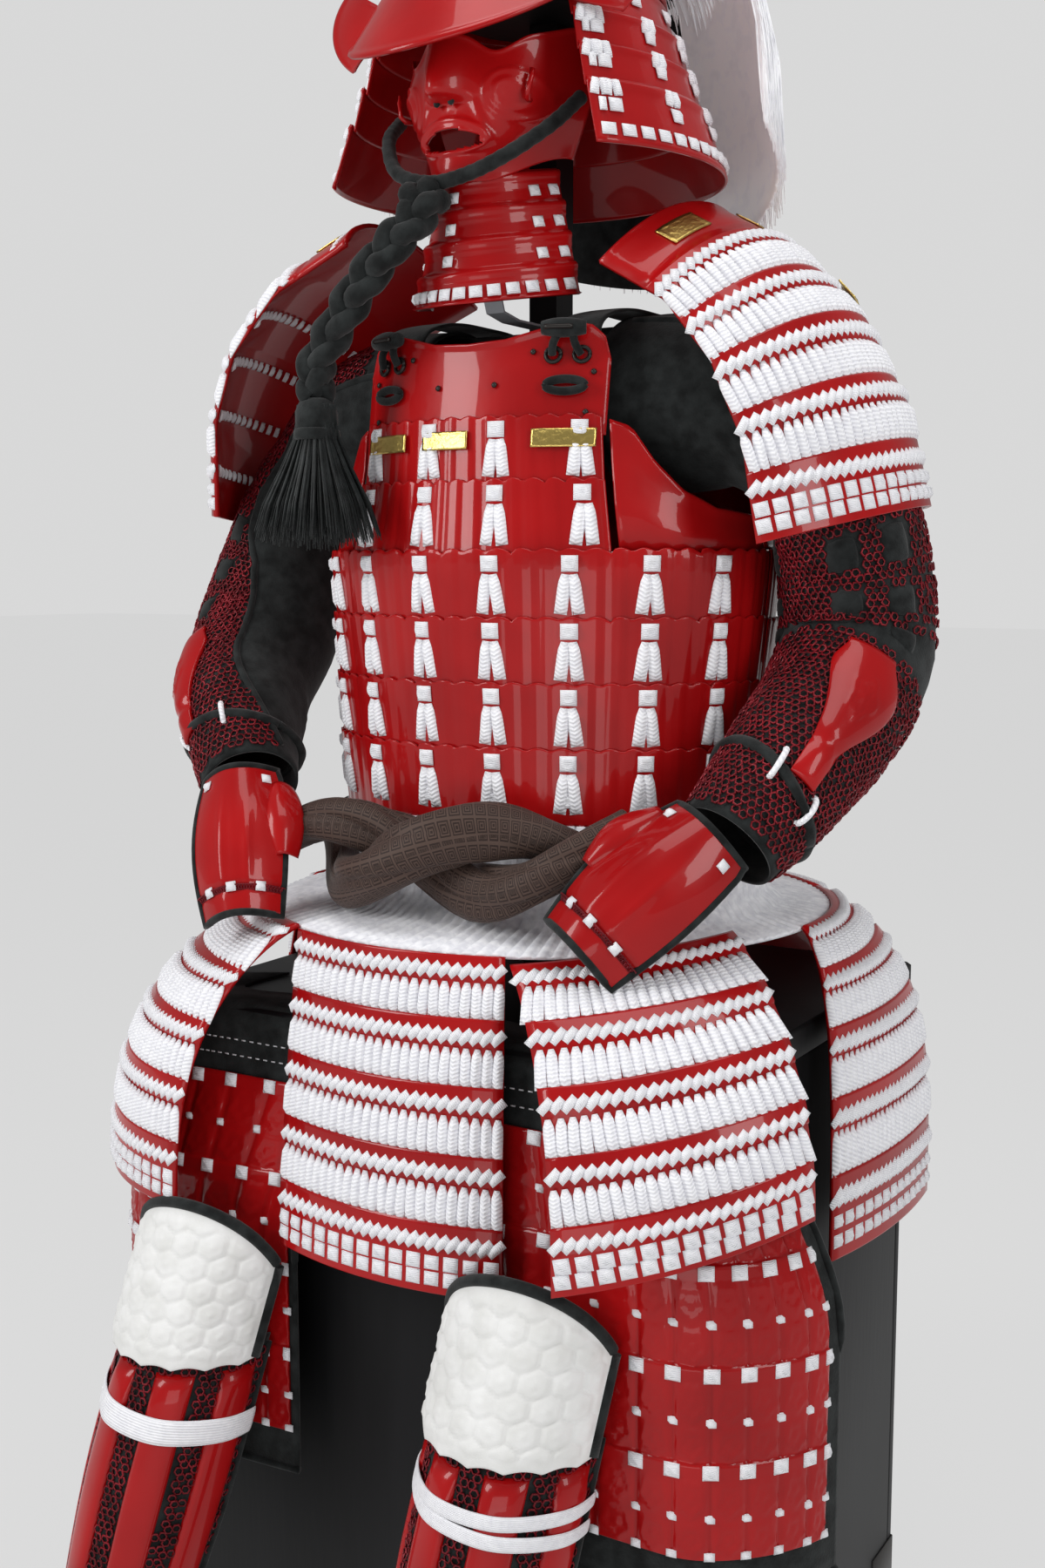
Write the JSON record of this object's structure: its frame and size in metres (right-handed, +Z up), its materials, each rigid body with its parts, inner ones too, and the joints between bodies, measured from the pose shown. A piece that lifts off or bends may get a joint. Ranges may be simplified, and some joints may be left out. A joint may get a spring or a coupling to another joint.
{
  "type": "samurai armour on its wooden storage box and stand",
  "caption": "Full suit of red lacquered samurai armour laced with white braid, with helmet and face mask, worn by an inner stand on a black wooden storage box.",
  "frame": {"origin": "on the floor under the middle of the storage box", "axes": "+Z up, the armour faces -Y and its own left side is at +X"},
  "size_m": [0.7228, 0.781, 1.6648],
  "materials": {
    "black_wood": "black lacquered wood, satin",
    "grey_strap": "flat grey woven strap",
    "black_cloth": "napped black cotton cloth and cord",
    "red_mail": "black cloth sewn with dark red ring mail",
    "white_lace": "white woven braid",
    "laced_lacquer": "red lacquered rows closely laced with white braid",
    "red_lacquer": "glossy red lacquer",
    "brown_brocade": "dark brown brocade",
    "white_hair": "long white hair",
    "white_quilt": "white quilted cloth"
  },
  "bodies": {
    "root": {"box_body": "black_wood", "box_lid": "black_wood", "stand_post": "black_wood", "stand_head": "black_wood", "stand_neck_strap": "grey_strap", "shoulder_strap_left": "black_cloth", "shoulder_strap_right": "black_cloth", "thigh_cloth_left": "black_cloth", "thigh_cloth_right": "black_cloth", "chin_cord": "black_cloth", "chin_plait": "black_cloth", "chin_tassel": "black_cloth", "sleeve_left": "red_mail", "sleeve_right": "red_mail", "forearm_left": "red_mail", "forearm_right": "red_mail", "waist_lacing": "white_lace", "skirt_front": "laced_lacquer", "skirt_front_left": "laced_lacquer", "skirt_left": "laced_lacquer", "skirt_back_left": "laced_lacquer", "skirt_back_right": "laced_lacquer", "skirt_right": "laced_lacquer", "skirt_front_right": "laced_lacquer", "shoulder_guard_left": "laced_lacquer", "shoulder_guard_right": "laced_lacquer", "chest_plate": "red_lacquer", "chest_rows": "red_lacquer", "side_plate_left": "red_lacquer", "side_plate_right": "red_lacquer", "front_row_1": "red_lacquer", "front_row_2": "red_lacquer", "front_row_3": "red_lacquer", "front_row_4": "red_lacquer", "back_rows": "red_lacquer", "back_plate": "red_lacquer", "gourd_plate_left": "red_lacquer", "gourd_plate_right": "red_lacquer", "hand_guard_left": "red_lacquer", "hand_guard_right": "red_lacquer", "thigh_plates_left": "red_lacquer", "thigh_plates_right": "red_lacquer", "shin_guard_left": "red_lacquer", "shin_guard_right": "red_lacquer", "helmet_bowl": "red_lacquer", "helmet_peak": "red_lacquer", "neck_row_1": "red_lacquer", "neck_row_2": "red_lacquer", "neck_row_3": "red_lacquer", "neck_row_4": "red_lacquer", "helmet_wing_left": "red_lacquer", "helmet_wing_right": "red_lacquer", "mask": "red_lacquer", "throat_guard": "red_lacquer", "sash_front_upper": "brown_brocade", "sash_front_lower": "brown_brocade", "sash_back": "brown_brocade", "helmet_hair": "white_hair", "knee_pad_left": "white_quilt", "knee_pad_right": "white_quilt"}
  },
  "joints": []
}
